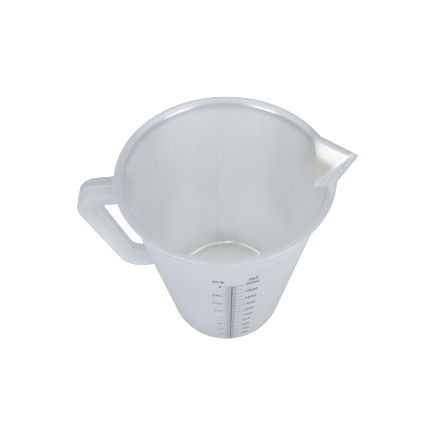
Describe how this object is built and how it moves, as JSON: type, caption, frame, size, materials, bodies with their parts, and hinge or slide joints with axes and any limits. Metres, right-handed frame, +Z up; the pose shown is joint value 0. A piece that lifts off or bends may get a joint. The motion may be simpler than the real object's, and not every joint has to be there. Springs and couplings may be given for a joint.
{
  "type": "graduated pouring beaker",
  "caption": "Tapered translucent plastic measuring beaker with flared lip, V pouring spout, closed side handle, printed front scale and raised moulded back scale.",
  "frame": {"origin": "centre of the standing face, on the axis of the tapered vessel", "axes": "+Z up along the vessel's axis, +X out through the pouring spout, handle on -X, printed scale on the -Y side, moulded scale on the +Y side"},
  "size_m": [0.1985, 0.149, 0.2],
  "materials": {
    "translucent_plastic": "natural translucent polypropylene, satin as moulded",
    "translucent_plastic_floor": "natural translucent polypropylene, satin, slightly warmer where it is thicker",
    "translucent_plastic_thick": "natural translucent polypropylene in a thick section, soft gloss",
    "indigo_ink": "screen printed indigo ink, slightly uneven"
  },
  "bodies": {
    "root": {"vessel_wall": "translucent_plastic", "base_floor": "translucent_plastic_floor", "foot_ring": "translucent_plastic", "rim_lip": "translucent_plastic", "pouring_spout": "translucent_plastic", "handle_upper_arm": "translucent_plastic_thick", "handle_grip": "translucent_plastic_thick", "handle_lower_arm": "translucent_plastic_thick", "print_scale_spine": "indigo_ink", "print_ml_fine_ticks": "indigo_ink", "print_ml_mid_ticks": "indigo_ink", "print_ml_major_ticks": "indigo_ink", "print_ml_numerals": "indigo_ink", "print_ml_unit": "indigo_ink", "print_litre_fine_ticks": "indigo_ink", "print_litre_major_ticks": "indigo_ink", "print_litre_numerals": "indigo_ink", "print_litre_unit": "indigo_ink", "moulded_scale_line": "translucent_plastic", "moulded_scale_ticks": "translucent_plastic", "moulded_scale_numerals": "translucent_plastic"}
  },
  "joints": []
}
